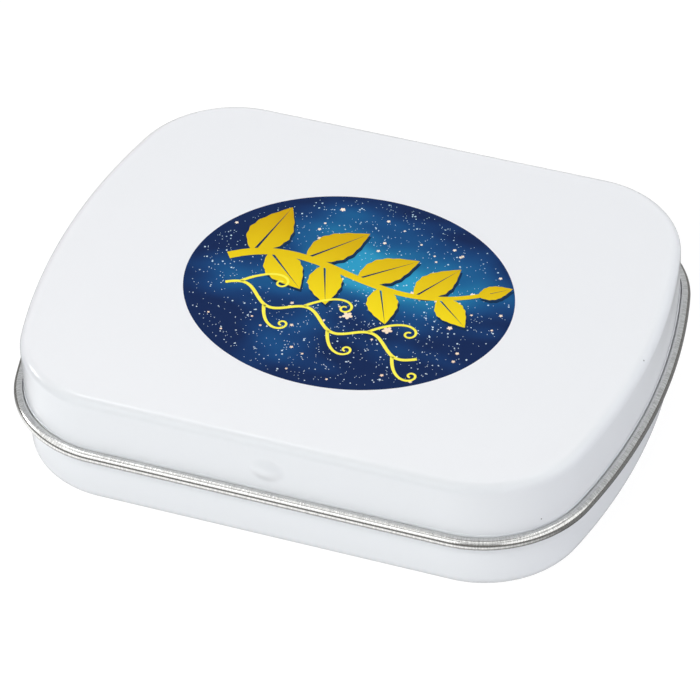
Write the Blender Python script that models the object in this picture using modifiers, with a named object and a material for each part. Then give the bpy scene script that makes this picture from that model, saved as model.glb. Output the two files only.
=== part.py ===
"""A hinged pocket mint tin: a base and a lid, each drawn from one piece of tinplate.

Sizes are in metres, +Z is up, the front of the tin faces -Y and the origin is the middle of
the face it rests on. Each piece starts as an open skin that is drawn out ring by ring round
the tin's plan, and is then thickened by the sheet. The lid's skin is its bare inside, which
comes out into view round the rolled rim. The base's skin is its painted outside.
"""

import math

import bmesh
import bpy
from mathutils import Vector

MM = 0.001

# Overall size, over the lid's rolled rim
LENGTH = 60.3 * MM
WIDTH = 47.6 * MM
HEIGHT = 12.7 * MM

# Tinplate
SHEET = 0.2 * MM

# Plan of the lid's skirt, with straight long sides, bowed ends and round corners
CORNER_RADIUS = 10.25 * MM
END_RADIUS = 62.0 * MM

# Lid
LID_EDGE_RADIUS = 1.0 * MM
ROLL_RADIUS = 0.6 * MM
ROLL_HEIGHT = 6.3 * MM
ROLL_TURN = math.radians(300)

# Base
SKIRT_GAP = 0.1 * MM
BASE_EDGE_RADIUS = 1.3 * MM
BASE_LEAN = 0.35 * MM
RIM_RADIUS = 0.5 * MM
RIM_GAP = 0.25 * MM
RIM_TURN = math.radians(270)

# Hinge: tongues lanced from the base's back wall, wrapped round the lid's rolled rim
TONGUE_WIDTH = 5.0 * MM
TONGUE_SIDE_GAP = 0.2 * MM
TONGUE_ROLL_GAP = 0.15 * MM
TONGUE_BEND_RADIUS = 0.25 * MM
TONGUE_TURN = math.radians(195)
TONGUE_CORNER_DISTANCE = 0.65 * MM
SLOT_HEIGHT = 1.4 * MM

# Snap: a bump pressed out of the lid's front, over a lower pip on the base
SNAP_LENGTH = 4.6 * MM
SNAP_DEPTH = 3.2 * MM
SNAP_LID_RISE = 0.35 * MM
SNAP_BASE_RISE = 0.15 * MM

# Printed oval on the lid
PRINT_LENGTH = 31.6 * MM
PRINT_WIDTH = 26.9 * MM
PRINT_CENTRE = (-0.1 * MM, -0.7 * MM)
PRINT_TILT = math.radians(-4)

# Fineness of the curves
CORNER_STEPS = 9
END_STEPS = 8
EDGE_STEPS = 5
ROLL_STEPS = 15
RIM_STEPS = 9
BEND_STEPS = 3
WRAP_STEPS = 13
SNAP_STEPS_X = 4
SNAP_STEPS_Z = 3
SHARP_ANGLE = math.radians(50)

# Least distance between a ring that an opening needs and one that only follows a curve
RING_SPACING = 0.15 * MM

# Colours and finishes: colour, metallic, roughness
ENAMEL = ((0.87, 0.88, 0.90, 1.0), 0.0, 0.22)
BARE_METAL = ((0.60, 0.61, 0.62, 1.0), 1.0, 0.32)
PRINT_INK = ((0.02, 0.10, 0.30, 1.0), 0.0, 0.25)

# A piece's materials run in pairs: a slot for the skin, then one for the sheet's other side
ONE_SLOT_ON = 1
PRINT_SLOT = 2

# Plan worked out from the overall size. The roll stands out past the skirt on every side.
ROLL_REACH = 2 * ROLL_RADIUS - SHEET
SKIRT_X = LENGTH / 2 - ROLL_REACH
SKIRT_Y = WIDTH / 2 - ROLL_REACH
END_CENTRE_X = SKIRT_X - END_RADIUS
CORNER_Y = SKIRT_Y - CORNER_RADIUS
CORNER_X = END_CENTRE_X + math.sqrt((END_RADIUS - CORNER_RADIUS) ** 2 - CORNER_Y ** 2)
END_HALF_ANGLE = math.asin(CORNER_Y / (END_RADIUS - CORNER_RADIUS))

# Places that both pieces share
BASE_INSET = SHEET + SKIRT_GAP
RIM_HEIGHT = HEIGHT - SHEET - RIM_GAP - RIM_RADIUS
HINGE_Y = WIDTH / 2 - ROLL_RADIUS
HINGE = Vector((0.0, HINGE_Y, ROLL_HEIGHT))
TONGUE_RADIUS = ROLL_RADIUS + TONGUE_ROLL_GAP + SHEET
TONGUE_ROOT_HEIGHT = ROLL_HEIGHT - TONGUE_RADIUS - TONGUE_BEND_RADIUS
WINDOW_WIDTH = TONGUE_WIDTH + 2 * TONGUE_SIDE_GAP
TONGUE_X = CORNER_X - TONGUE_CORNER_DISTANCE - WINDOW_WIDTH / 2
SNAP_HEIGHT = (ROLL_HEIGHT + ROLL_RADIUS + HEIGHT - LID_EDGE_RADIUS) / 2


def arc(centre, radius, start, turn, steps):
    """Points along an arc, both ends included, as pairs in the arc's own plane."""
    angles = [start + turn * step / steps for step in range(steps + 1)]
    return [
        (centre[0] + radius * math.cos(angle), centre[1] + radius * math.sin(angle))
        for angle in angles
    ]


def arc_columns(centre, radius, start, end, steps):
    """Plan points with their outward normals along an arc, without its last point."""
    columns = []
    for step in range(steps):
        angle = start + (end - start) * step / steps
        normal = Vector((math.cos(angle), math.sin(angle)))
        columns.append((Vector(centre) + radius * normal, normal))
    return columns


def side_columns(stations, side):
    """Plan points with their outward normals along the back (side 1) or the front (-1)."""
    return [(Vector((x, side * SKIRT_Y)), Vector((0.0, side))) for x in stations]


def back_stations():
    """Where the tongues and their openings need an edge, from +X to -X."""
    half_widths = (WINDOW_WIDTH / 2, TONGUE_WIDTH / 2)
    right = [TONGUE_X + half for half in half_widths]
    right += [TONGUE_X - half for half in reversed(half_widths)]
    return right + [-x for x in reversed(right)]


def front_stations():
    """Where the snap's curve needs an edge, from -X to +X."""
    steps = range(-SNAP_STEPS_X, SNAP_STEPS_X + 1)
    return [step * SNAP_LENGTH / 2 / SNAP_STEPS_X for step in steps]


def plan_columns():
    """The skirt's plan, anticlockwise from the right end, as points and outward normals."""
    quarter = math.pi / 2
    end = END_HALF_ANGLE
    corner = CORNER_RADIUS
    columns = arc_columns((END_CENTRE_X, 0), END_RADIUS, -end, end, END_STEPS)
    columns += arc_columns((CORNER_X, CORNER_Y), corner, end, quarter, CORNER_STEPS)
    columns += side_columns([CORNER_X] + back_stations(), 1)
    columns += arc_columns(
        (-CORNER_X, CORNER_Y), corner, quarter, math.pi - end, CORNER_STEPS
    )
    columns += arc_columns(
        (-END_CENTRE_X, 0), END_RADIUS, math.pi - end, math.pi + end, END_STEPS
    )
    columns += arc_columns(
        (-CORNER_X, -CORNER_Y), corner, math.pi + end, 3 * quarter, CORNER_STEPS
    )
    columns += side_columns([-CORNER_X] + front_stations(), -1)
    columns += arc_columns(
        (CORNER_X, -CORNER_Y), corner, 3 * quarter, 4 * quarter - end, CORNER_STEPS
    )
    return columns


def plan_ring(offset, height):
    """The plan moved out by an offset and up to a height."""
    return [
        Vector((*(point + offset * normal), height)) for point, normal in plan_columns()
    ]


def print_ring(height):
    """The printed oval's edge, with one point for each column of the plan."""
    ring = []
    for point, _ in plan_columns():
        angle = math.atan2(point.y, point.x) - PRINT_TILT
        along = PRINT_LENGTH / 2 * math.cos(angle)
        across = PRINT_WIDTH / 2 * math.sin(angle)
        x = PRINT_CENTRE[0] + along * math.cos(PRINT_TILT) - across * math.sin(PRINT_TILT)
        y = PRINT_CENTRE[1] + along * math.sin(PRINT_TILT) + across * math.cos(PRINT_TILT)
        ring.append(Vector((x, y, height)))
    return ring


def snap_rows():
    """Heights at which the snap's curve needs an edge."""
    steps = range(-SNAP_STEPS_Z, SNAP_STEPS_Z + 1)
    return [SNAP_HEIGHT + step * SNAP_DEPTH / 2 / SNAP_STEPS_Z for step in steps]


def wall_rows(needed, low, high):
    """Heights of a wall's rings between low and high: the needed ones and the snap's."""
    rows = list(needed)
    for row in snap_rows():
        if min(abs(row - other) for other in needed) > RING_SPACING:
            rows.append(row)
    return sorted(row for row in rows if low < row < high)


def window_top():
    """Top of the opening that a tongue leaves in the wall: as tall as the tongue is long."""
    bend = TONGUE_BEND_RADIUS * math.pi / 2
    straight = HINGE_Y - (SKIRT_Y - BASE_INSET) - TONGUE_BEND_RADIUS
    wrap = (TONGUE_RADIUS - SHEET / 2) * TONGUE_TURN
    return TONGUE_ROOT_HEIGHT + bend + straight + wrap + TONGUE_SIDE_GAP


def lid_profile():
    """Offset and height of each ring of the lid's inside, from the panel out to the roll."""
    edge_radius = LID_EDGE_RADIUS - SHEET
    edge_height = HEIGHT - LID_EDGE_RADIUS
    quarter = math.pi / 2
    profile = arc((-LID_EDGE_RADIUS, edge_height), edge_radius, quarter, -quarter, EDGE_STEPS)
    rows = wall_rows([ROLL_HEIGHT + SLOT_HEIGHT], ROLL_HEIGHT, edge_height)
    profile += [(-SHEET, row) for row in reversed(rows)]
    roll_centre = (ROLL_RADIUS - SHEET, ROLL_HEIGHT)
    return profile + arc(roll_centre, ROLL_RADIUS, math.pi, ROLL_TURN, ROLL_STEPS)


def base_profile():
    """Offset and height of each ring of the base's outside, from the bottom up to the rim."""
    quarter = math.pi / 2
    edge_centre = (-BASE_INSET - BASE_EDGE_RADIUS, BASE_EDGE_RADIUS)
    profile = arc(edge_centre, BASE_EDGE_RADIUS, -quarter, quarter, EDGE_STEPS)
    needed = [TONGUE_ROOT_HEIGHT, ROLL_HEIGHT, window_top()]
    for row in wall_rows(needed, BASE_EDGE_RADIUS, RIM_HEIGHT):
        climb = max(0.0, (row - ROLL_HEIGHT) / (RIM_HEIGHT - ROLL_HEIGHT))
        profile.append((-BASE_INSET - BASE_LEAN * climb, row))
    rim_centre = (-BASE_INSET - BASE_LEAN - RIM_RADIUS, RIM_HEIGHT)
    return profile + arc(rim_centre, RIM_RADIUS, 0.0, RIM_TURN, RIM_STEPS)


def tongue_path():
    """Y and Z of a tongue's outer face, from just past its root to its tip over the roll."""
    bend_centre = (SKIRT_Y - BASE_INSET + TONGUE_BEND_RADIUS, TONGUE_ROOT_HEIGHT)
    quarter = math.pi / 2
    bend = arc(bend_centre, TONGUE_BEND_RADIUS, math.pi, -quarter, BEND_STEPS)
    wrap = arc((HINGE_Y, ROLL_HEIGHT), TONGUE_RADIUS, -quarter, TONGUE_TURN, WRAP_STEPS)
    return bend[1:] + wrap


def start_panel(skin, ring):
    """Make the flat middle of a skin as one face and return its corners in order."""
    corners = bmesh.ops.create_circle(
        skin, cap_ends=True, segments=len(ring), radius=LENGTH
    )["verts"]
    for corner, place in zip(corners, ring):
        corner.co = place
    return corners


def extrude_edges(skin, edges, corners, places):
    """Draw edges out by one step and return the new corner for each old one."""
    made = bmesh.ops.extrude_edge_only(skin, edges=edges)["geom"]
    fresh = {item for item in made if isinstance(item, bmesh.types.BMVert)}
    following = []
    for corner, place in zip(corners, places):
        new = next(
            edge.other_vert(corner)
            for edge in corner.link_edges
            if edge.other_vert(corner) in fresh
        )
        new.co = place
        following.append(new)
    return following


def extrude_ring(skin, corners, ring):
    """Draw a closed ring of edges out to the next ring's places."""
    nexts = corners[1:] + corners[:1]
    edges = [skin.edges.get(pair) for pair in zip(corners, nexts)]
    return extrude_edges(skin, edges, corners, ring)


def draw_skin(skin, rings):
    """Draw a whole skin from its flat middle out through every ring."""
    corners = start_panel(skin, rings[0])
    for ring in rings[1:]:
        corners = extrude_ring(skin, corners, ring)


def face_down(skin):
    """Turn the skin so that its flat middle faces down."""
    bmesh.ops.recalc_face_normals(skin, faces=skin.faces)
    middle = max(skin.faces, key=lambda face: len(face.verts))
    if middle.normal.z > 0:
        bmesh.ops.reverse_faces(skin, faces=skin.faces)


def cut_back_openings(skin, low, high):
    """Take out the back wall's faces at both tongues, between two heights."""
    inside = []
    for face in skin.faces:
        centre = face.calc_center_median()
        beside = abs(abs(centre.x) - TONGUE_X) < WINDOW_WIDTH / 2
        if beside and 0 < centre.y < SKIRT_Y and low < centre.z < high:
            inside.append(face)
    bmesh.ops.delete(skin, geom=inside, context="FACES")


def press_snap(skin, rise):
    """Press the front wall out over the snap, in a smooth dome that fades to nothing."""
    for corner in skin.verts:
        across = corner.co.x / (SNAP_LENGTH / 2)
        up = (corner.co.z - SNAP_HEIGHT) / (SNAP_DEPTH / 2)
        reach = across ** 2 + up ** 2
        if corner.co.y < 0 and reach < 1:
            corner.co.y -= rise * (1 - reach) ** 2


def draw_tongue(skin, side):
    """Draw one tongue out of its opening's lower edge, along its path."""
    outer = TONGUE_WIDTH / 2
    ends = [side * TONGUE_X - outer, side * TONGUE_X + outer]
    corners = []
    for x in ends:
        root = Vector((x, SKIRT_Y - BASE_INSET, TONGUE_ROOT_HEIGHT))
        corners.append(min(skin.verts, key=lambda vert: (vert.co - root).length))
    for y, z in tongue_path():
        edge = skin.edges.get(corners)
        places = [Vector((x, y, z)) for x in ends]
        corners = extrude_edges(skin, [edge], corners, places)


def make_material(name, finish):
    """A surface from its colour, metallic value and roughness."""
    colour, metallic, roughness = finish
    material = bpy.data.materials.new(name)
    material.use_nodes = True
    shader = material.node_tree.nodes["Principled BSDF"]
    shader.inputs["Base Color"].default_value = colour
    shader.inputs["Metallic"].default_value = metallic
    shader.inputs["Roughness"].default_value = roughness
    material.diffuse_color = colour
    return material


def finish_piece(name, skin, place, materials, collection):
    """Make an object of a skin, with its origin at a place, and thicken it by the sheet."""
    bmesh.ops.translate(skin, verts=skin.verts, vec=-place)
    mesh = bpy.data.meshes.new(name)
    skin.to_mesh(mesh)
    skin.free()
    for material in materials:
        mesh.materials.append(material)
    mesh.shade_smooth()
    mesh.set_sharp_from_angle(angle=SHARP_ANGLE)
    piece = bpy.data.objects.new(name, mesh)
    piece.location = place
    collection.objects.link(piece)
    wall = piece.modifiers.new("sheet", "SOLIDIFY")
    wall.thickness = SHEET
    wall.offset = -1
    wall.use_even_offset = True
    wall.use_quality_normals = True
    wall.material_offset = ONE_SLOT_ON
    return piece


def make_lid(enamel, metal, ink, collection):
    """The lid: panel with its printed oval, skirt, snap, hinge slots and rolled rim."""
    skin = bmesh.new()
    rings = [print_ring(HEIGHT - SHEET)]
    rings += [plan_ring(offset, height) for offset, height in lid_profile()]
    draw_skin(skin, rings)
    face_down(skin)
    oval = max(skin.faces, key=lambda face: len(face.verts))
    oval.material_index = PRINT_SLOT
    cut_back_openings(skin, ROLL_HEIGHT, ROLL_HEIGHT + SLOT_HEIGHT)
    press_snap(skin, SNAP_LID_RISE)
    return finish_piece("lid", skin, HINGE, (metal, enamel, metal, ink), collection)


def make_base(enamel, metal, collection):
    """The base: flat bottom, leaning wall, pip, rolled-in rim and hinge tongues."""
    skin = bmesh.new()
    draw_skin(skin, [plan_ring(offset, height) for offset, height in base_profile()])
    cut_back_openings(skin, TONGUE_ROOT_HEIGHT, window_top())
    for side in (-1, 1):
        draw_tongue(skin, side)
    face_down(skin)
    press_snap(skin, SNAP_BASE_RISE)
    return finish_piece("base", skin, Vector(), (enamel, metal), collection)


def main():
    """Clear the scene and make the tin."""
    for old in list(bpy.data.objects):
        bpy.data.objects.remove(old, do_unlink=True)
    collection = bpy.data.collections.new("mint_tin")
    bpy.context.scene.collection.children.link(collection)
    enamel = make_material("white_enamel", ENAMEL)
    metal = make_material("bare_tinplate", BARE_METAL)
    ink = make_material("print_ink", PRINT_INK)
    make_base(enamel, metal, collection)
    make_lid(enamel, metal, ink, collection)


main()
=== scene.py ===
"""The look of a hinged mint tin: white enamelled tinplate, a bare rolled rim, a printed oval.

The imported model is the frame. Its two pieces are drawn again here as fine sheets of tin on the
same plan, and the oval's ink lies on the lid. Lengths are in metres.
"""

import logging
import math
from dataclasses import dataclass, field
from enum import Enum
from typing import Any, Sequence

import bmesh
import bpy
import numpy as np
from mathutils import Matrix, Vector


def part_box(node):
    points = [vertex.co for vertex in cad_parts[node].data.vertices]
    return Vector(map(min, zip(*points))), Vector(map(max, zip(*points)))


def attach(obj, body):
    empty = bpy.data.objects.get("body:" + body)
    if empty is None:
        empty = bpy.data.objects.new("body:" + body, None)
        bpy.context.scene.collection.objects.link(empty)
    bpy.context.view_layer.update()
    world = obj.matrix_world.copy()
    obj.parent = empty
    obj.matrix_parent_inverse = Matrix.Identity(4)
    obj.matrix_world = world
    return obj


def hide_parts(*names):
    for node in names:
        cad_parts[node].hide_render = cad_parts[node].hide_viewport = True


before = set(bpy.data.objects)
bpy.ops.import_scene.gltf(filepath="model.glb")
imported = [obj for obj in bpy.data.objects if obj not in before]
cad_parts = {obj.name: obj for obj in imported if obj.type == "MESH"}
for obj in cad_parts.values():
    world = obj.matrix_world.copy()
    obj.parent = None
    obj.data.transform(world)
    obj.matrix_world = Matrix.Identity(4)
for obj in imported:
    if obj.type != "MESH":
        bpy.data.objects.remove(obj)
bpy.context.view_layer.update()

MM = 0.001
QUARTER = math.pi / 2
MERGE_DISTANCE = 1e-7
SHARP_ANGLE = math.radians(40)
SHEET_MAP = "sheet_mm"
EVEN_TURN = 0.12

# Two specks on the lid, in millimetres: one on its round edge and one low on the skirt.
WEAR_MARKS = (
    ((28.85, -1.12, 12.45), 0.12),
    ((25.05, -19.3, 7.7), 0.09),
)

log = logging.getLogger("mint_tin")


def linear(hex_colour: str) -> tuple[float, float, float, float]:
    """Turn an sRGB hex colour into linear light.

    Args:
        hex_colour: The colour as six hex digits after a hash sign.

    Returns:
        Red, green and blue as linear values, and an alpha of one.
    """
    channels = []
    for place in (1, 3, 5):
        value = int(hex_colour[place:place + 2], 16) / 255
        low = value / 12.92
        high = ((value + 0.055) / 1.055) ** 2.4
        channels.append(low if value <= 0.04045 else high)
    return (channels[0], channels[1], channels[2], 1.0)


def add_node(
    tree: bpy.types.NodeTree,
    kind: str,
    inputs: dict[Any, Any] | None = None,
    **settings: Any,
) -> bpy.types.Node:
    """Add one node with its settings, values and links.

    Args:
        tree: The node tree that gets the node.
        kind: The node's type name.
        inputs: Socket name or number to a value, or to the output socket that feeds it.
        settings: Attributes of the node itself, such as its operation.

    Returns:
        The new node.
    """
    node = tree.nodes.new(kind)
    for name, value in settings.items():
        setattr(node, name, value)
    for name, value in (inputs or {}).items():
        if isinstance(value, bpy.types.NodeSocket):
            tree.links.new(value, node.inputs[name])
        else:
            node.inputs[name].default_value = value
    return node


def new_surface(name: str) -> tuple[bpy.types.Material, bpy.types.NodeTree, bpy.types.Node]:
    """Make a material with one Principled shader.

    Args:
        name: What the surface is.

    Returns:
        The material, its node tree and its shader node.
    """
    material = bpy.data.materials.new(name)
    material.use_nodes = True
    tree = material.node_tree
    return material, tree, tree.nodes["Principled BSDF"]


@dataclass(frozen=True)
class Enamel:
    """White stoving enamel, rolled on flat tinplate and baked before the tin is pressed.

    It gives the eye a smooth, cool white with soft, glossy reflections that waver a little,
    because the coat ripples as it flows out. Its marks are chips down to the dull primer, each
    a place on the lid and a radius, in millimetres.
    """

    colour: str = "#EEEFF2"
    chip_colour: str = "#6E6A66"
    chip_core: float = 0.5
    roughness: float = 0.08
    roughness_spread: tuple[float, float] = (0.85, 1.25)
    ior: float = 1.5
    ripple_mm: float = 2.2
    ripple_height: float = 0.0016 * MM
    grit_mm: float = 0.25
    marks: tuple[tuple[tuple[float, float, float], float], ...] = ()

    def chip(
        self, tree: bpy.types.NodeTree, place: bpy.types.NodeSocket, shader: bpy.types.Node
    ) -> None:
        """Chip the coat at its marks, each fading out from its core to its radius.

        Args:
            tree: The material's nodes.
            place: Where on the piece.
            shader: The coat, which has its plain colour.
        """
        tone: Any = linear(self.colour)
        for middle, radius in self.marks:
            away = add_node(
                tree, "ShaderNodeVectorMath",
                {0: place, 1: tuple(value * MM for value in middle)}, operation="DISTANCE",
            )
            left = add_node(
                tree, "ShaderNodeMapRange",
                {
                    "Value": away.outputs["Value"],
                    "From Min": radius * self.chip_core * MM,
                    "From Max": radius * MM,
                },
            )
            tone = add_node(
                tree, "ShaderNodeMix",
                {"Factor": left.outputs["Result"], 6: linear(self.chip_colour), 7: tone},
                data_type="RGBA",
            ).outputs[2]
            tree.links.new(tone, shader.inputs["Base Color"])

    def build(self, name: str) -> bpy.types.Material:
        """Build the enamel.

        Args:
            name: The material's name.

        Returns:
            The material.
        """
        material, tree, shader = new_surface(name)
        shader.inputs["IOR"].default_value = self.ior
        shader.inputs["Base Color"].default_value = linear(self.colour)
        place = add_node(tree, "ShaderNodeTexCoord").outputs["Object"]
        self.chip(tree, place, shader)
        ripple = add_node(
            tree, "ShaderNodeTexNoise",
            {"Vector": place, "Scale": 1 / (self.ripple_mm * MM), "Detail": 1.0},
        )
        grit = add_node(
            tree, "ShaderNodeTexNoise",
            {"Vector": place, "Scale": 1 / (self.grit_mm * MM), "Detail": 2.0},
        )
        rough = add_node(
            tree, "ShaderNodeMapRange",
            {
                "Value": grit.outputs["Fac"],
                "To Min": self.roughness * self.roughness_spread[0],
                "To Max": self.roughness * self.roughness_spread[1],
            },
        )
        tree.links.new(rough.outputs["Result"], shader.inputs["Roughness"])
        bump = add_node(
            tree, "ShaderNodeBump",
            {"Height": ripple.outputs["Fac"], "Distance": self.ripple_height, "Strength": 1.0},
        )
        tree.links.new(bump.outputs["Normal"], shader.inputs["Normal"])
        return material


@dataclass(frozen=True)
class Tinplate:
    """Bare tinplate: steel with a melted coat of tin, pressed and curled in dies.

    It gives the eye a grey metal that mirrors in broken bands, because short, fine streaks run
    across it. The finest are drawn 0.14 mm apart, coarser than real ones, so that they show.
    A dark band painted across the underside of a roll is painted shade: it stands for the shaded
    gap that the roll mirrors there.
    """

    colour: str = "#DEDEDC"
    roughness: float = 0.15
    roughness_spread: tuple[float, float] = (1.35, 0.8)
    grain_along_mm: float = 0.14
    grain_across_mm: float = 0.8
    grain_range: tuple[float, float] = (0.32, 0.68)
    grain_height: float = 0.004 * MM
    grain_strength: float = 0.5
    mottle: float = 0.3
    # Painted shade: a darker band across the roll's underside, in sheet-map millimetres, with its
    # tone and fade.
    painted_shade_band_mm: tuple[float, float] | None = None
    painted_shade_band_tone: float = 0.45
    painted_shade_band_fade: tuple[float, float] = (0.5, 1.5)

    def grain(self, tree: bpy.types.NodeTree, sheet: bpy.types.NodeSocket) -> bpy.types.NodeSocket:
        """Streaks across the sheet's length, spread out to run from 0 to 1.

        Args:
            tree: The material's nodes.
            sheet: The sheet's map in millimetres.

        Returns:
            The streaks.
        """
        stretched = add_node(
            tree, "ShaderNodeMapping",
            {
                "Vector": sheet,
                "Scale": (1 / self.grain_along_mm, 1 / self.grain_across_mm, 1.0),
            },
        )
        noise = add_node(
            tree, "ShaderNodeTexNoise",
            {"Vector": stretched.outputs["Vector"], "Scale": 1.0, "Detail": 3.0, "Roughness": 0.65},
        )
        spread_out = add_node(
            tree, "ShaderNodeMapRange",
            {
                "Value": noise.outputs["Fac"],
                "From Min": self.grain_range[0],
                "From Max": self.grain_range[1],
            },
        )
        return spread_out.outputs["Result"]

    def painted_shade_band(self, tree: bpy.types.NodeTree, sheet: bpy.types.NodeSocket) -> bpy.types.NodeSocket:
        """How much light the painted shade band leaves: less between its two edges on the sheet's
        map.

        Args:
            tree: The material's nodes.
            sheet: The sheet's map in millimetres.

        Returns:
            The share of light that is left, 1 away from the painted shade band.
        """
        across = add_node(tree, "ShaderNodeSeparateXYZ", {"Vector": sheet}).outputs["Y"]
        middle = sum(self.painted_shade_band_mm) / 2
        half = (self.painted_shade_band_mm[1] - self.painted_shade_band_mm[0]) / 2
        offset = add_node(tree, "ShaderNodeMath", {0: across, 1: middle}, operation="SUBTRACT")
        away = add_node(
            tree, "ShaderNodeMath", {0: offset.outputs["Value"]}, operation="ABSOLUTE"
        )
        left = add_node(
            tree, "ShaderNodeMapRange",
            {
                "Value": away.outputs["Value"],
                "From Min": half * self.painted_shade_band_fade[0],
                "From Max": half * self.painted_shade_band_fade[1],
                "To Min": self.painted_shade_band_tone,
                "To Max": 1.0,
            },
        )
        return left.outputs["Result"]

    def build(self, name: str) -> bpy.types.Material:
        """Build the bare metal, whose grain follows the sheet's own map.

        Args:
            name: The material's name.

        Returns:
            The material.
        """
        material, tree, shader = new_surface(name)
        shader.inputs["Metallic"].default_value = 1.0
        sheet = add_node(tree, "ShaderNodeUVMap", uv_map=SHEET_MAP).outputs["UV"]
        grain = self.grain(tree, sheet)
        base = linear(self.colour)
        dark = tuple(channel * (1 - self.mottle) for channel in base[:3]) + (1.0,)
        tone = add_node(
            tree, "ShaderNodeMix", {"Factor": grain, 6: dark, 7: base}, data_type="RGBA"
        ).outputs[2]
        # Painted shade: the colour is scaled down across the band on the roll's underside.
        if self.painted_shade_band_mm:
            tone = add_node(
                tree, "ShaderNodeVectorMath", {0: tone, "Scale": self.painted_shade_band(tree, sheet)},
                operation="SCALE",
            ).outputs["Vector"]
        tree.links.new(tone, shader.inputs["Base Color"])
        rough = add_node(
            tree, "ShaderNodeMapRange",
            {
                "Value": grain,
                "To Min": self.roughness * self.roughness_spread[0],
                "To Max": self.roughness * self.roughness_spread[1],
            },
        )
        tree.links.new(rough.outputs["Result"], shader.inputs["Roughness"])
        bump = add_node(
            tree, "ShaderNodeBump",
            {
                "Height": grain,
                "Distance": self.grain_height,
                "Strength": self.grain_strength,
            },
        )
        tree.links.new(bump.outputs["Normal"], shader.inputs["Normal"])
        return material


@dataclass(frozen=True)
class NightInk:
    """Offset litho ink under a thin varnish, shaded from a blue glow out to navy.

    It gives the eye a deep, matt night sky, with soft clouds where the shades meet.
    """

    edge: str = "#0D1B42"
    body: str = "#14427C"
    halo: str = "#1B6C9C"
    glow: str = "#2FA0C8"
    roughness: float = 0.5
    shine: float = 0.06
    glow_place: tuple[float, float] = (1.2 * MM, 1.6 * MM)
    glow_size: tuple[float, float] = (17.0 * MM, 12.0 * MM)
    cloud_mm: float = 9.0
    cloud_stretch: float = 0.55
    cloud_range: tuple[float, float] = (0.3, 0.7)
    cloud_share: float = 0.95
    halo_stop: float = 0.3
    body_stop: float = 0.65
    tilt: float = math.radians(-20)

    def build(self, name: str) -> bpy.types.Material:
        """Build the field's ink.

        Args:
            name: The material's name.

        Returns:
            The material.
        """
        material, tree, shader = new_surface(name)
        shader.inputs["Roughness"].default_value = self.roughness
        shader.inputs["Specular IOR Level"].default_value = self.shine
        place = add_node(tree, "ShaderNodeTexCoord").outputs["Object"]
        moved = add_node(
            tree, "ShaderNodeVectorMath", {0: place, 1: (*self.glow_place, 0.0)},
            operation="SUBTRACT",
        ).outputs["Vector"]
        turned = add_node(
            tree, "ShaderNodeMapping",
            {
                "Vector": moved,
                "Rotation": (0.0, 0.0, self.tilt),
                "Scale": (1 / self.glow_size[0], 1 / self.glow_size[1], 0.0),
            },
        )
        away = add_node(
            tree, "ShaderNodeVectorMath", {0: turned.outputs["Vector"]}, operation="LENGTH"
        )
        drawn_out = add_node(
            tree, "ShaderNodeMapping",
            {
                "Vector": place,
                "Scale": (
                    self.cloud_stretch / (self.cloud_mm * MM), 1 / (self.cloud_mm * MM), 1.0
                ),
            },
        )
        cloud = add_node(
            tree, "ShaderNodeTexNoise",
            {"Vector": drawn_out.outputs["Vector"], "Scale": 1.0, "Detail": 2.0},
        )
        drift = add_node(
            tree, "ShaderNodeMapRange",
            {
                "Value": cloud.outputs["Fac"],
                "From Min": self.cloud_range[0],
                "From Max": self.cloud_range[1],
                "To Min": -self.cloud_share / 2,
                "To Max": self.cloud_share / 2,
            },
        )
        share = add_node(
            tree, "ShaderNodeMath",
            {0: away.outputs["Value"], 1: drift.outputs["Result"]}, operation="ADD",
        )
        ramp = add_node(tree, "ShaderNodeValToRGB", {"Fac": share.outputs["Value"]})
        ramp.color_ramp.interpolation = "B_SPLINE"
        ramp.color_ramp.elements[0].color = linear(self.glow)
        ramp.color_ramp.elements[1].color = linear(self.edge)
        for stop, colour in ((self.halo_stop, self.halo), (self.body_stop, self.body)):
            ramp.color_ramp.elements.new(stop).color = linear(colour)
        tree.links.new(ramp.outputs["Color"], shader.inputs["Base Color"])
        return material


@dataclass(frozen=True)
class SpotInk:
    """Offset litho ink that passes into a second colour across the oval.

    It gives the eye a flat, slightly uneven colour, like thin ink on white enamel.
    """

    colour: str
    second: str
    roughness: float = 0.5
    shine: float = 0.06
    patch_mm: float = 3.0
    patch_share: float = 0.35
    fade_mm: tuple[float, float] = (-9.0, 9.0)

    def build(self, name: str) -> bpy.types.Material:
        """Build the ink.

        Args:
            name: The material's name.

        Returns:
            The material.
        """
        material, tree, shader = new_surface(name)
        shader.inputs["Roughness"].default_value = self.roughness
        shader.inputs["Specular IOR Level"].default_value = self.shine
        place = add_node(tree, "ShaderNodeTexCoord").outputs["Object"]
        patch = add_node(
            tree, "ShaderNodeTexNoise",
            {"Vector": place, "Scale": 1 / (self.patch_mm * MM), "Detail": 2.0},
        )
        up = add_node(tree, "ShaderNodeSeparateXYZ", {"Vector": place}).outputs["Y"]
        fade = add_node(
            tree, "ShaderNodeMapRange",
            {"Value": up, "From Min": self.fade_mm[0] * MM, "From Max": self.fade_mm[1] * MM},
        )
        share = add_node(
            tree, "ShaderNodeMix",
            {0: self.patch_share, 2: fade.outputs["Result"], 3: patch.outputs["Fac"]},
        )
        tone = add_node(
            tree, "ShaderNodeMix",
            {"Factor": share.outputs[0], 6: linear(self.colour), 7: linear(self.second)},
            data_type="RGBA",
        )
        tree.links.new(tone.outputs[2], shader.inputs["Base Color"])
        return material


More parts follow.
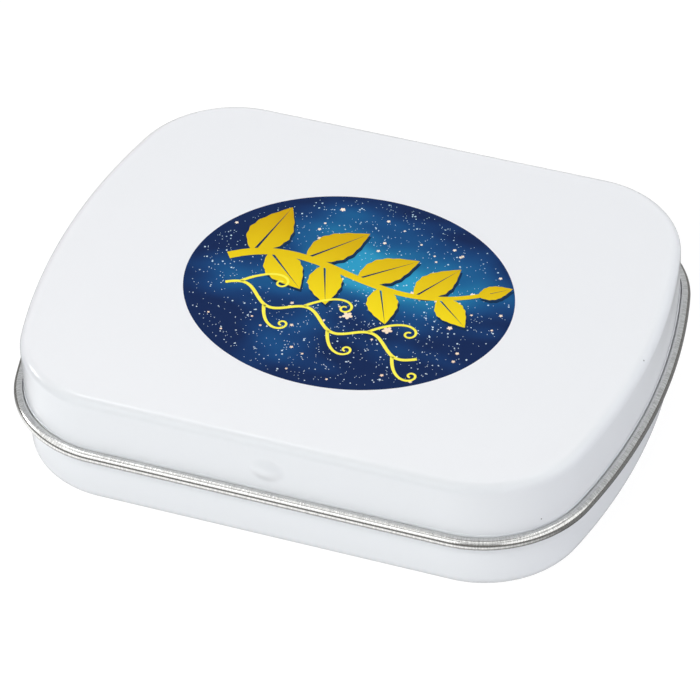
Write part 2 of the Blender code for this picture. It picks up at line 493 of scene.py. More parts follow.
def build_mesh(
    name: str,
    points: np.ndarray,
    quads: np.ndarray,
    corner_map: np.ndarray | None = None,
) -> bpy.types.Mesh:
    """Put whole arrays into a mesh and merge the corners that coincide.

    Args:
        name: The mesh's name.
        points: Corner places, one row each.
        quads: Four corner numbers for each face.
        corner_map: Map coordinates of each face's corners, in the faces' order.

    Returns:
        The mesh, shaded smooth.
    """
    mesh = bpy.data.meshes.new(name)
    mesh.vertices.add(len(points))
    mesh.vertices.foreach_set("co", np.ascontiguousarray(points, np.float32).ravel())
    mesh.loops.add(quads.size)
    mesh.loops.foreach_set("vertex_index", quads.ravel().astype(np.int32))
    mesh.polygons.add(len(quads))
    mesh.polygons.foreach_set("loop_start", np.arange(0, quads.size, 4, dtype=np.int32))
    mesh.update(calc_edges=True)
    if corner_map is not None:
        layer = mesh.uv_layers.new(name=SHEET_MAP)
        layer.data.foreach_set("uv", np.ascontiguousarray(corner_map, np.float32).ravel())
    work = bmesh.new()
    work.from_mesh(mesh)
    bmesh.ops.remove_doubles(work, verts=work.verts, dist=MERGE_DISTANCE)
    work.to_mesh(mesh)
    work.free()
    mesh.shade_smooth()
    return mesh


def grid_quads(rows: int, columns: int, closed: bool) -> np.ndarray:
    """Corner numbers of a grid's faces, row by row.

    Args:
        rows: Rows of corners.
        columns: Corners in a row.
        closed: Whether the last column joins the first.

    Returns:
        An array of faces, four corners each, wound from a column to the next one.
    """
    row = np.arange(rows - 1)[:, None] * columns
    column = np.arange(columns if closed else columns - 1)[None, :]
    after = (column + 1) % columns
    corners = (row + column, row + after, row + columns + after, row + columns + column)
    return np.stack(np.broadcast_arrays(*corners), axis=-1).reshape(-1, 4)


def spread(breaks: Sequence[float], spacing: float) -> np.ndarray:
    """Stations between breaks, evenly spaced and hitting every break but the last.

    Args:
        breaks: Places that need a station, in order.
        spacing: The widest step allowed.

    Returns:
        The stations.
    """
    runs = []
    for start, end in zip(breaks[:-1], breaks[1:]):
        steps = max(1, math.ceil(abs(end - start) / spacing))
        runs.append(np.linspace(start, end, steps, endpoint=False))
    return np.concatenate(runs)


def arc_points(
    centre: tuple[float, float], radius: float, start: float, turn: float, steps: int
) -> np.ndarray:
    """Points along an arc, both ends included: the centre plus radius times cosine and sine.

    Args:
        centre: The arc's centre in its own plane.
        radius: Its radius.
        start: Angle of the first point.
        turn: Angle from the first point to the last.
        steps: Steps between them.

    Returns:
        One row for each point.
    """
    angles = start + turn * np.linspace(0.0, 1.0, steps + 1)
    return np.stack([centre[0] + radius * np.cos(angles), centre[1] + radius * np.sin(angles)], -1)


@dataclass(frozen=True)
class Plan:
    """The skirt's plan: straight long sides, bowed ends and round corners.

    Each end is an arc about the long axis, and each corner an arc that touches the end and the
    side: a centre plus the radius times cosine and sine.
    """

    half_length: float
    half_width: float
    corner_radius: float = 10.25 * MM
    end_radius: float = 62.0 * MM
    corner_steps: int = 26
    end_steps: int = 30
    side_spacing: float = 1.6 * MM

    @property
    def corner_y(self) -> float:
        """How far a corner's centre lies from the long axis."""
        return self.half_width - self.corner_radius

    @property
    def corner_x(self) -> float:
        """How far a corner's centre lies from the short axis: where both arcs touch."""
        reach = self.end_radius - self.corner_radius
        return self.half_length - self.end_radius + math.sqrt(reach ** 2 - self.corner_y ** 2)

    def columns(
        self, back: Sequence[float], front: Sequence[float]
    ) -> tuple[np.ndarray, np.ndarray]:
        """Points and outward normals round the plan, anticlockwise from the right end.

        Args:
            back: Breaks along the back, from +X to -X, without its ends.
            front: Breaks along the front, from -X to +X, without its ends.

        Returns:
            The points and the unit normals, one row each.
        """
        lean = math.asin(self.corner_y / (self.end_radius - self.corner_radius))
        end_x = self.half_length - self.end_radius
        x, y = self.corner_x, self.corner_y
        arcs = (
            ((end_x, 0.0), self.end_radius, -lean, lean, self.end_steps),
            ((x, y), self.corner_radius, lean, QUARTER, self.corner_steps),
            None,
            ((-x, y), self.corner_radius, QUARTER, math.pi - lean, self.corner_steps),
            ((-end_x, 0.0), self.end_radius, math.pi - lean, math.pi + lean, self.end_steps),
            ((-x, -y), self.corner_radius, math.pi + lean, 3 * QUARTER, self.corner_steps),
            None,
            ((x, -y), self.corner_radius, 3 * QUARTER, 4 * QUARTER - lean, self.corner_steps),
        )
        sides = [([x, *back, -x], 1.0), ([-x, *front, x], -1.0)]
        points, normals = [], []
        for arc in arcs:
            if arc is None:
                breaks, side = sides.pop(0)
                along = spread(breaks, self.side_spacing)
                normal = np.tile([0.0, side], (len(along), 1))
                point = np.stack([along, np.full(len(along), side * self.half_width)], -1)
            else:
                centre, radius, start, end, steps = arc
                angles = np.linspace(start, end, steps, endpoint=False)
                normal = np.stack([np.cos(angles), np.sin(angles)], -1)
                point = np.array(centre) + radius * normal
            points.append(point)
            normals.append(normal)
        return np.concatenate(points), np.concatenate(normals)


@dataclass(frozen=True)
class Snap:
    """The bump at the middle of the front: rise times (1 - reach squared) squared."""

    height: float
    length: float = 3.8 * MM
    depth: float = 2.9 * MM
    steps: int = 24

    def breaks(self) -> list[float]:
        """Stations along the front where the bump starts and ends, with fine steps between."""
        return list(np.linspace(-self.length / 2, self.length / 2, self.steps + 1))

    def press(self, points: np.ndarray, rise: float) -> np.ndarray:
        """Press the front wall outwards over the bump.

        Args:
            points: Grid of places, pressed where they lie at the front.
            rise: The bump's height.

        Returns:
            The pressed grid.
        """
        across = points[..., 0] / (self.length / 2)
        up = (points[..., 2] - self.height) / (self.depth / 2)
        dome = np.clip(1 - across ** 2 - up ** 2, 0, None) ** 2
        pressed = points.copy()
        pressed[..., 1] -= np.where(points[..., 1] < 0, rise * dome, 0.0)
        return pressed


@dataclass(frozen=True)
class Hinge:
    """Two tongues of the base's back wall, wrapped round the lid's rolled rim."""

    y: float
    height: float
    tongue_x: float
    roll_radius: float
    width: float = 5.0 * MM
    side_gap: float = 0.2 * MM
    roll_gap: float = 0.15 * MM
    bend_radius: float = 0.25 * MM
    turn: float = math.radians(195)
    slot_height: float = 1.4 * MM
    cross_spacing: float = 0.5 * MM

    @property
    def window_width(self) -> float:
        """Width of the opening in either wall."""
        return self.width + 2 * self.side_gap

    def breaks(self) -> list[float]:
        """Stations along the back at the tongues' and the openings' sides, from +X to -X.

        Returns:
            The stations, with fine ones across each tongue.
        """
        halves = (self.window_width / 2, self.width / 2)
        right = [self.tongue_x + half for half in halves]
        right += [self.tongue_x - half for half in reversed(halves)]
        inner = spread([right[1], right[2]], self.cross_spacing)[1:]
        right = right[:2] + list(inner) + right[2:]
        return right + [-x for x in reversed(right)]

    def opening(self, centres: np.ndarray, wall_y: float, low: float, high: float) -> np.ndarray:
        """Which faces lie in the openings of a back wall.

        Args:
            centres: The faces' centres.
            wall_y: A face past this is not part of the wall.
            low: Height of the openings' lower edge.
            high: Height of their upper edge.

        Returns:
            True for each face to leave out.
        """
        beside = np.abs(np.abs(centres[:, 0]) - self.tongue_x) < self.window_width / 2
        behind = (centres[:, 1] > 0) & (centres[:, 1] < wall_y)
        return beside & behind & (centres[:, 2] > low) & (centres[:, 2] < high)


@dataclass(frozen=True)
class Section:
    """A wall's section: offset and height of each row, and its share of the full plan."""

    offset: np.ndarray
    height: np.ndarray
    share: np.ndarray

    def length(self) -> np.ndarray:
        """Distance along the section to each row, from the panel's edge."""
        step = np.hypot(np.diff(self.offset), np.diff(self.height))
        return np.concatenate([[0.0], np.cumsum(step)])


def section(panel: tuple[float, float], wall: np.ndarray, panel_rows: int) -> Section:
    """Join a flat panel to a wall.

    Args:
        panel: Offset and height of the panel's edge.
        wall: Offset and height of each row past it.
        panel_rows: Rows from the panel's middle to its edge.

    Returns:
        The whole section, from the middle of the panel outwards.
    """
    share = np.linspace(0.0, 1.0, panel_rows + 1)[:-1]
    flat = np.tile(panel, (panel_rows, 1))
    rows = np.concatenate([flat, wall])
    return Section(rows[:, 0], rows[:, 1], np.concatenate([share, np.ones(len(wall))]))


def sweep(points: np.ndarray, normals: np.ndarray, profile: Section) -> np.ndarray:
    """Carry a section round a plan: share times (point plus offset times normal), at height.

    Args:
        points: The plan's points.
        normals: The plan's outward normals.
        profile: The section.

    Returns:
        A grid of places, one row for each row of the section.
    """
    ring = points[None] + profile.offset[:, None, None] * normals[None]
    flat = profile.share[:, None, None] * ring
    height = np.broadcast_to(profile.height[:, None, None], flat.shape[:2] + (1,))
    return np.concatenate([flat, height], -1)


def sheet_map(points: np.ndarray, profile: Section) -> np.ndarray:
    """Map a swept grid's faces in millimetres, round the plan and along the section.

    Args:
        points: The plan's points.
        profile: The section.

    Returns:
        Map coordinates of each face's four corners.
    """
    step = np.linalg.norm(np.roll(points, -1, 0) - points, axis=1)
    along = np.concatenate([[0.0], np.cumsum(step)]) / MM
    across = profile.length() / MM
    u, v = np.meshgrid(along, across)
    corners = (
        (slice(None, -1), slice(None, -1)),
        (slice(None, -1), slice(1, None)),
        (slice(1, None), slice(1, None)),
        (slice(1, None), slice(None, -1)),
    )
    mapped = np.stack([np.stack([u[corner], v[corner]], -1) for corner in corners], axis=2)
    return mapped.reshape(-1, 4, 2)


def thicken(piece: bpy.types.Object, thickness: float, side_slot: int, rim_slot: int) -> None:
    """Give a skin the sheet's thickness, behind its faces, and mark its cut edges sharp.

    Args:
        piece: The skin's object.
        thickness: The sheet's thickness.
        side_slot: Steps from a face's material slot to its other side's.
        rim_slot: Steps from a face's material slot to the cut edge's.
    """
    wall = piece.modifiers.new("sheet", "SOLIDIFY")
    wall.thickness = thickness
    wall.offset = -1
    wall.use_even_offset = True
    wall.use_quality_normals = True
    wall.material_offset = side_slot
    wall.material_offset_rim = rim_slot
    graph = bpy.context.evaluated_depsgraph_get()
    solid = bpy.data.meshes.new_from_object(piece.evaluated_get(graph))
    piece.modifiers.clear()
    skin = piece.data
    piece.data = solid
    bpy.data.meshes.remove(skin)
    solid.name = piece.name
    solid.shade_smooth()
    solid.set_sharp_from_angle(angle=SHARP_ANGLE)


def place_piece(
    name: str,
    mesh: bpy.types.Mesh,
    materials: Sequence[bpy.types.Material],
    collection: bpy.types.Collection,
) -> bpy.types.Object:
    """Make an object of a mesh, at the origin.

    Args:
        name: The piece's name.
        mesh: Its mesh, in place.
        materials: Its material slots.
        collection: Where it goes.

    Returns:
        The object.
    """
    for material in materials:
        mesh.materials.append(material)
    piece = bpy.data.objects.new(name, mesh)
    collection.objects.link(piece)
    return piece


def report_piece(piece: bpy.types.Object) -> None:
    """Log a piece's name and how many faces it has."""
    log.info("%s: %d faces", piece.name, len(piece.data.polygons))


@dataclass
class Tin:
    """Sizes that the lid and the base share, worked out from the frame."""

    sheet: float = 0.2 * MM
    roll_radius: float = 0.6 * MM
    roll_height: float = 6.3 * MM
    lid_edge_radius: float = 1.0 * MM
    tongue_corner_distance: float = 0.65 * MM
    low: Vector = field(init=False)
    high: Vector = field(init=False)
    plan: Plan = field(init=False)
    hinge: Hinge = field(init=False)
    snap: Snap = field(init=False)

    def __post_init__(self) -> None:
        """Read the lid's box and lay out the plan, the hinge and the snap."""
        self.low, self.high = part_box("lid")
        reach = 2 * self.roll_radius - self.sheet
        self.plan = Plan(self.high.x - reach, self.high.y - reach)
        half_window = Hinge.width / 2 + Hinge.side_gap
        tongue_x = self.plan.corner_x - self.tongue_corner_distance - half_window
        roll_y = self.high.y - self.roll_radius
        self.hinge = Hinge(roll_y, self.roll_height, tongue_x, self.roll_radius)
        skirt_foot = self.roll_height + self.roll_radius
        skirt_head = self.high.z - self.lid_edge_radius
        self.snap = Snap((skirt_foot + skirt_head) / 2)

    def stations(self) -> tuple[np.ndarray, np.ndarray]:
        """The plan's points and normals, with a station wherever either piece needs one."""
        return self.plan.columns(self.hinge.breaks(), self.snap.breaks())


@dataclass
class Lid:
    """The lid: panel, round edge, skirt, snap bump, hinge slots and outward roll."""

    tin: Tin
    ink_allowance: float = 0.03 * MM
    snap_rise: float = 0.35 * MM
    roll_turn: float = math.radians(292)
    shoulder_height: float = 0.48 * MM
    shoulder_rise: float = 0.07 * MM
    shoulder_reach: float = 0.22 * MM
    shoulder_steps: int = 12
    # Angles round the roll of the painted shade band on its underside, in degrees.
    underside: tuple[float, float] = (142.0, 172.0)
    panel_rows: int = 10
    edge_steps: int = 14
    wall_spacing: float = 0.16 * MM
    roll_steps: int = 40

    @property
    def top(self) -> float:
        """Height of the enamel's top face, under the ink."""
        return self.tin.high.z - self.ink_allowance

    def profile(self) -> Section:
        """The lid's bare inside, from the middle of the panel out to the end of the roll.

        Just above the roll the skirt swells by a hair before it turns out. This shoulder is its
        rise times the squared cosine of a quarter turn times the share of its reach, and its
        lower half catches the light over the roll.

        Returns:
            The section.
        """
        tin = self.tin
        inner_radius = tin.lid_edge_radius - tin.sheet
        edge_height = self.top - tin.lid_edge_radius
        edge = arc_points(
            (-tin.lid_edge_radius, edge_height), inner_radius, QUARTER, -QUARTER, self.edge_steps
        )
        slot_top = tin.roll_height + tin.hinge.slot_height
        middle = tin.roll_height + self.shoulder_height
        over, under = middle + self.shoulder_reach, middle - self.shoulder_reach
        fine = np.linspace(over, under, self.shoulder_steps + 1)
        heights = spread([edge_height, slot_top, *fine, tin.roll_height], self.wall_spacing)[1:]
        reach = np.clip((heights - middle) / self.shoulder_reach, -1, 1)
        shoulder = self.shoulder_rise * np.cos(reach * QUARTER) ** 2
        wall = np.stack([shoulder - tin.sheet, heights], -1)
        roll = arc_points(
            (tin.roll_radius - tin.sheet, tin.roll_height),
            tin.roll_radius, math.pi, self.roll_turn, self.roll_steps,
        )
        return section(tuple(edge[0]), np.concatenate([edge, wall, roll]), self.panel_rows)

    def roll_underside(self) -> tuple[float, float]:
        """Where the roll's underside, which carries the painted shade band, lies on the sheet's
        map, in millimetres.

        Returns:
            The distances along the section at which it starts and ends.
        """
        start = self.profile().length()[-self.roll_steps - 1]
        turned = np.radians(self.underside) * self.tin.roll_radius
        return (float(start + turned[0]) / MM, float(start + turned[1]) / MM)

    def build(
        self,
        enamel: bpy.types.Material,
        metal: bpy.types.Material,
        collection: bpy.types.Collection,
    ) -> bpy.types.Object:
        """Draw the lid and hang it on its body.

        Args:
            enamel: The outside.
            metal: The inside, the roll and the cut edges.
            collection: Where it goes.

        Returns:
            The lid.
        """
        tin = self.tin
        points, normals = tin.stations()
        profile = self.profile()
        grid = tin.snap.press(sweep(points, normals, profile), self.snap_rise)
        quads = grid_quads(*grid.shape[:2], closed=True)
        places = grid.reshape(-1, 3)
        slot_top = tin.roll_height + tin.hinge.slot_height
        hole = tin.hinge.opening(
            places[quads].mean(1), tin.plan.half_width, tin.roll_height, slot_top
        )
        mapped = sheet_map(points, profile)
        mesh = build_mesh("tin_lid", places, quads[~hole], mapped[~hole])
        lid = place_piece("tin_lid", mesh, (metal, enamel), collection)
        thicken(lid, tin.sheet, side_slot=1, rim_slot=0)
        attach(lid, "lid")
        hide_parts("lid")
        report_piece(lid)
        return lid


@dataclass
class Base:
    """The base: flat bottom, round edge, leaning wall, pip, inward rim and hinge tongues."""

    tin: Tin
    skirt_gap: float = 0.1 * MM
    edge_radius: float = 1.3 * MM
    lean: float = 0.35 * MM
    rim_radius: float = 0.5 * MM
    rim_turn: float = math.radians(270)
    snap_rise: float = 0.15 * MM
    panel_rows: int = 10
    edge_steps: int = 16
    wall_spacing: float = 0.3 * MM
    rim_steps: int = 24
    bend_steps: int = 6
    wrap_steps: int = 36

    @property
    def inset(self) -> float:
        """How far the base's outside lies inside the skirt's."""
        return self.tin.sheet + self.skirt_gap

    @property
    def tongue_radius(self) -> float:
        """Outer radius of a tongue round the roll."""
        hinge = self.tin.hinge
        return hinge.roll_radius + hinge.roll_gap + self.tin.sheet

    @property
    def root_height(self) -> float:
        """Height at which a tongue leaves the wall."""
        return self.tin.hinge.height - self.tongue_radius - self.tin.hinge.bend_radius

    @property
    def window_top(self) -> float:
        """Top of the opening that a tongue leaves, which is as tall as the tongue is long.

        Returns:
            Its height.
        """
        hinge = self.tin.hinge
        straight = hinge.y - (self.tin.plan.half_width - self.inset) - hinge.bend_radius
        wrap = (self.tongue_radius - self.tin.sheet / 2) * hinge.turn
        return self.root_height + hinge.bend_radius * QUARTER + straight + wrap + hinge.side_gap

    def profile(self) -> Section:
        """The base's outside, from the middle of the bottom up to the end of the rim.

        Returns:
            The section.
        """
        tin = self.tin
        rim_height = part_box("base")[1].z - self.rim_radius
        edge = arc_points(
            (-self.inset - self.edge_radius, self.edge_radius),
            self.edge_radius, -QUARTER, QUARTER, self.edge_steps,
        )
        heights = spread(
            [self.edge_radius, self.root_height, tin.roll_height, self.window_top, rim_height],
            self.wall_spacing,
        )[1:]
        climb = np.clip((heights - tin.roll_height) / (rim_height - tin.roll_height), 0, None)
        wall = np.stack([-self.inset - self.lean * climb, heights], -1)
        rim = arc_points(
            (-self.inset - self.lean - self.rim_radius, rim_height),
            self.rim_radius, 0.0, self.rim_turn, self.rim_steps,
        )
        return section(tuple(edge[0]), np.concatenate([edge, wall, rim]), self.panel_rows)

    def tongue_grid(self, side: float, points: np.ndarray) -> np.ndarray:
        """One tongue: its path in Y and Z, carried across the stations of its width.

        Args:
            side: 1 for the tongue at +X, -1 for the other.
            points: The plan's points, whose stations the tongue shares.

        Returns:
            A grid of places whose first row is the opening's lower edge.
        """
        hinge = self.tin.hinge
        wall_y = self.tin.plan.half_width - self.inset
        bend = arc_points(
            (wall_y + hinge.bend_radius, self.root_height),
            hinge.bend_radius, math.pi, -QUARTER, self.bend_steps,
        )
        wrap = arc_points(
            (hinge.y, hinge.height), self.tongue_radius, -QUARTER, hinge.turn, self.wrap_steps
        )
        path = np.concatenate([bend, wrap])
        reach = np.abs(points[:, 0] - side * hinge.tongue_x)
        across = points[(points[:, 1] > 0) & (reach < hinge.width / 2 + MERGE_DISTANCE), 0]
        grid = np.empty((len(path), len(across), 3))
        grid[..., 0] = across[None, :]
        grid[..., 1:] = path[:, None, :]
        return grid

    def build(
        self,
        enamel: bpy.types.Material,
        metal: bpy.types.Material,
        collection: bpy.types.Collection,
    ) -> bpy.types.Object:
        """Draw the base with its tongues and hang it on its body.

        Args:
            enamel: The outside.
            metal: The inside and the cut edges.
            collection: Where it goes.

        Returns:
            The base.
        """
        tin = self.tin
        points, normals = tin.stations()
        profile = self.profile()
        grid = tin.snap.press(sweep(points, normals, profile), self.snap_rise)
        quads = grid_quads(*grid.shape[:2], closed=True)
        places = grid.reshape(-1, 3)
        hole = tin.hinge.opening(
            places[quads].mean(1), tin.plan.half_width, self.root_height, self.window_top
        )
        faces = [quads[~hole]]
        maps = [sheet_map(points, profile)[~hole]]
        blocks = [places]
        count = len(places)
        for side in (1.0, -1.0):
            tongue = self.tongue_grid(side, points)
            tongue_quads = grid_quads(*tongue.shape[:2], closed=False)
            flat = tongue.reshape(-1, 3)
            faces.append(tongue_quads + count)
            maps.append(flat[tongue_quads][..., [0, 2]] / MM)
            blocks.append(flat)
            count += len(flat)
        mesh = build_mesh(
            "tin_base", np.concatenate(blocks), np.concatenate(faces), np.concatenate(maps)
        )
        base = place_piece("tin_base", mesh, (enamel, metal), collection)
        thicken(base, tin.sheet, side_slot=1, rim_slot=1)
        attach(base, "base")
        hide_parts("base")
        report_piece(base)
        return base


class Layer(Enum):
    """The print's ink films, in the order in which they are laid."""

    FIELD = 1
    SUGAR = 2
    BLOSSOM = 3
    SHADE = 4
    LEAVES = 5
    STEM = 6
    TENDRIL = 7


@dataclass(frozen=True)
class Art:
    """Flat artwork: places in the oval's own axes, and faces of four corners."""

    places: np.ndarray
    quads: np.ndarray

    @staticmethod
    def join(parts: Sequence["Art"]) -> "Art":
        """Put several drawings into one.

        Args:
            parts: The drawings.

        Returns:
            One drawing with all of their faces.
        """
        starts = np.cumsum([0] + [len(part.places) for part in parts[:-1]])
        return Art(
            np.concatenate([part.places for part in parts]),
            np.concatenate([part.quads + start for part, start in zip(parts, starts)]),
        )

    def moved(self, x: float, y: float) -> "Art":
        """The same drawing, moved."""
        return Art(self.places + (x, y), self.quads)


def stroke(path: np.ndarray, half_width: np.ndarray) -> Art:
    """Draw a line of changing width: the path plus and minus its half width times its normal.

    Args:
        path: Places along the line.
        half_width: Half the line's width at each place.

    Returns:
        The line.
    """
    along = np.gradient(path, axis=0)
    along /= np.linalg.norm(along, axis=1, keepdims=True)
    normal = np.stack([-along[:, 1], along[:, 0]], -1)
    across = np.array([-1.0, 0.0, 1.0])[None, :, None]
    grid = path[:, None] + across * (half_width[:, None] * normal)[:, None]
    return Art(grid.reshape(-1, 2), grid_quads(*grid.shape[:2], closed=False)[:, ::-1])


def curl(
    start: tuple[float, float], heading: float, length: float, turn: float, steps: int
) -> np.ndarray:
    """A path that curls up: its heading grows with the fourth power of the share of its length.

    The rest of the turn, an eighth or so, is even, so that the path is nowhere straight.

    Args:
        start: Where it starts.
        heading: Which way it sets out.
        length: Its length.
        turn: How far it turns in all.
        steps: Steps along it.

    Returns:
        Places along it.
    """
    share = np.linspace(0.0, 1.0, steps + 1)
    angle = heading + turn * (EVEN_TURN * share + (1 - EVEN_TURN) * share ** 4)
    step = length / steps * np.stack([np.cos(angle), np.sin(angle)], -1)
    return np.array(start) + np.cumsum(step, axis=0)


@dataclass
class Print:
    """The printed oval: a night field with sugar grains, mint blossoms, a sprig and tendrils."""

    tin: Tin
    top: float
    length: float = 31.75 * MM
    width: float = 27.0 * MM
    centre: tuple[float, float] = (-0.17 * MM, -0.74 * MM)
    tilt: float = math.radians(-4)
    film: float = 0.004 * MM
    film_share: float = 0.9
    field_rings: int = 8
    field_steps: int = 160
    grains: int = 1400
    grain_radius: float = 0.065 * MM
    grain_sides: int = 8
    grain_sizes: tuple[float, ...] = (0.55, 0.75, 1.0, 1.4)
    grain_seed: int = 7
    blossoms: int = 64
    blossom_radius: float = 0.27 * MM
    blossom_steps: int = 40
    blossom_sizes: tuple[float, ...] = (0.5, 0.7, 1.0, 1.9)
    blossom_seed: int = 11
    petal_depth: float = 0.45
    half_petals: float = 2.5
    scatter: float = 0.93
    leaf_steps: int = 36
    leaf_cross: int = 6
    leaf_width: float = 0.27
    leaf_rib: float = 0.075
    leaf_teeth: int = 6
    tooth_depth: float = 0.08
    leaf_places: tuple[int, ...] = (5, 9, 18, 23, 32, 38, 46, 51)
    leaf_angle: float = math.radians(56)
    leaf_length_mm: float = 7.6
    leaf_shrink_mm: float = 0.04
    lower_leaf: float = 0.86
    tip_leaf: float = 3.4 * MM
    shade_offset: tuple[float, float] = (0.3 * MM, -0.35 * MM)
    stem: tuple[tuple[float, float], ...] = ((-12.6, 0.4), (-5.0, 7.2), (3.0, -3.4), (12.4, 4.6))
    stem_steps: int = 60
    stem_width_mm: float = 0.5
    stem_taper_mm: float = 0.24
    vine_ends: tuple[tuple[float, float], ...] = ((-11.2, -3.2), (9.8, -6.4))
    vine_sway: float = 0.9 * MM
    vine_waves: int = 3
    vine_steps: int = 120
    vine_width: tuple[float, float] = (0.17 * MM, 0.1 * MM)
    curl_place: float = 0.35
    curl_lengths: tuple[float, float] = (7.6 * MM, 6.4 * MM)
    curl_angle: float = math.radians(62)
    curl_turn: float = math.radians(430)
    curl_steps: int = 60

    def lay(self, flat: np.ndarray, layer: Layer) -> np.ndarray:
        """Turn and move flat places onto the lid, at an ink film's height.

        Args:
            flat: Places in the oval's own axes.
            layer: Which film.

        Returns:
            Places on the lid.
        """
        c, s = math.cos(self.tilt), math.sin(self.tilt)
        x = self.centre[0] + flat[..., 0] * c - flat[..., 1] * s
        y = self.centre[1] + flat[..., 0] * s + flat[..., 1] * c
        return np.stack([x, y, np.full(x.shape, self.top + layer.value * self.film)], -1)

    def ink(
        self, layer: Layer, art: Art, material: bpy.types.Material, collection: bpy.types.Collection
    ) -> None:
        """Print one drawing on the lid as a thin closed film.

        Args:
            layer: Which film.
            art: The drawing.
            material: Its ink.
            collection: Where it goes.
        """
        name = f"print_{layer.name.lower()}"
        mesh = build_mesh(name, self.lay(art.places, layer), art.quads)
        film = place_piece(name, mesh, (material,), collection)
        thicken(film, self.film * self.film_share, side_slot=0, rim_slot=0)
        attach(film, "lid")
        report_piece(film)

    def field(self) -> Art:
        """The oval: radius share times the half axes times cosine and sine.

        Returns:
            The oval, closed at its middle.
        """
        share = np.linspace(0.0, 1.0, self.field_rings + 1)[:, None]
        angle = np.linspace(0.0, 2 * math.pi, self.field_steps, endpoint=False)[None, :]
        half = (self.length / 2, self.width / 2)
        grid = np.stack([share * half[0] * np.cos(angle), share * half[1] * np.sin(angle)], -1)
        quads = grid_quads(*grid.shape[:2], closed=True)[:, ::-1]
        return Art(grid.reshape(-1, 2), quads)

    def rosettes(
        self,
        count: int,
        radius: float,
        sizes: Sequence[float],
        petals: float,
        steps: int,
        seed: int,
    ) -> Art:
        """Small round or petalled spots, scattered evenly at random over the oval.

        A spot's edge lies at its radius times (1 - petals + petals times the absolute cosine of
        2.5 times the angle), so that 0 gives a disc and more gives five petals.

        Args:
            count: How many.
            radius: The largest radius.
            sizes: Shares of it to draw from, the last the rarest.
            petals: How deep the petals are cut.
            steps: Corners round a spot.
            seed: Seed of the draw.

        Returns:
            The spots.
        """
        draw = np.random.default_rng(seed)
        share = np.sqrt(draw.uniform(0.0, self.scatter, count))
        angle = draw.uniform(0.0, 2 * math.pi, count)
        middle = np.stack(
            [share * self.length / 2 * np.cos(angle), share * self.width / 2 * np.sin(angle)], -1
        )
        odds = 0.5 ** np.arange(len(sizes))
        size = radius * draw.choice(sizes, count, p=odds / odds.sum())
        turn = np.linspace(0, 2 * math.pi, steps, endpoint=False)
        reach = 1 - petals + petals * np.abs(np.cos(self.half_petals * turn))
        rim = reach[:, None] * np.stack([np.cos(turn), np.sin(turn)], -1)
        rings = np.array([0.0, 1.0])[:, None, None] * rim[None]
        spots = middle[:, None, None, :] + size[:, None, None, None] * rings[None]
        quads = grid_quads(2, steps, closed=True)[:, ::-1]
        faces = quads[None] + 2 * steps * np.arange(count)[:, None, None]
        return Art(spots.reshape(-1, 2), faces.reshape(-1, 4))

    def leaf(self, root: np.ndarray, angle: float, length: float) -> Art:
        """One leaf in two halves, with its midrib left open between them.

        A half runs from the midrib out to the edge: the edge's distance is the half width times
        the sine of pi times the length share to the 0.8, with small teeth along it.

        Args:
            root: Where the leaf meets the stem.
            angle: Which way it points.
            length: Its length.

        Returns:
            The leaf.
        """
        along = np.linspace(0.0, 1.0, self.leaf_steps + 1)[:, None]
        cross = np.linspace(0.0, 1.0, self.leaf_cross + 1)[None, :]
        half_width = self.leaf_width * length
        saw = 1 - 2 * np.abs((along * self.leaf_teeth) % 1 - 0.5)
        edge = half_width * np.sin(math.pi * along ** 0.8) * (1 + self.tooth_depth * saw)
        rib = self.leaf_rib * half_width * (1 - along)
        c, s = math.cos(angle), math.sin(angle)
        halves = []
        for side in (1.0, -1.0):
            v = side * (rib + cross * np.clip(edge - rib, 0, None))
            u = np.broadcast_to(along * length, v.shape)
            grid = np.stack([root[0] + u * c - v * s, root[1] + u * s + v * c], -1)
            quads = grid_quads(*grid.shape[:2], closed=False)
            halves.append(Art(grid.reshape(-1, 2), quads if side < 0 else quads[:, ::-1]))
        return Art.join(halves)

    def sprig(self) -> tuple[Art, Art]:
        """A stem along a cubic curve, and its leaves on both sides with one at its tip.

        Returns:
            The stem and the leaves.
        """
        share = np.linspace(0.0, 1.0, self.stem_steps + 1)[:, None]
        ends = np.array(self.stem) * MM
        path = sum(
            math.comb(3, i) * share ** i * (1 - share) ** (3 - i) * ends[i] for i in range(4)
        )
        slope = np.gradient(path, axis=0)
        heading = np.arctan2(slope[:, 1], slope[:, 0])
        leaves = [self.leaf(path[-3], heading[-1], self.tip_leaf)]
        for number, place in enumerate(self.leaf_places):
            side = 1 if number % 2 == 0 else -1
            length = self.leaf_length_mm - self.leaf_shrink_mm * place
            length = length * (1.0 if side > 0 else self.lower_leaf) * MM
            leaves.append(self.leaf(path[place], heading[place] + side * self.leaf_angle, length))
        half_width = (self.stem_width_mm - self.stem_taper_mm * share[:, 0]) * MM
        return stroke(path, half_width), Art.join(leaves)

    def tendrils(self) -> Art:
        """A thin vine below the sprig, a line plus a sine wave, with a curl at each half wave.

        Returns:
            The vine and its curls.
        """
        share = np.linspace(0.0, 1.0, self.vine_steps + 1)[:, None]
        start, end = np.array(self.vine_ends) * MM
        path = start + (end - start) * share
        wave = 2 * math.pi * self.vine_waves * share[:, 0]
        path[:, 1] += self.vine_sway * np.sin(wave)
        parts = [stroke(path, np.full(len(path), self.vine_width[0]))]
        heading = math.atan2(*(end - start)[::-1])
        for number in range(2 * self.vine_waves):
            side = 1 if number % 2 == 0 else -1
            along = (number + self.curl_place) / (2 * self.vine_waves)
            place = path[round(along * self.vine_steps)]
            rolled = curl(
                place, heading + side * self.curl_angle, self.curl_lengths[number % 2],
                -side * self.curl_turn, self.curl_steps,
            )
            parts.append(stroke(rolled, np.linspace(*self.vine_width, len(rolled))))
        return Art.join(parts)

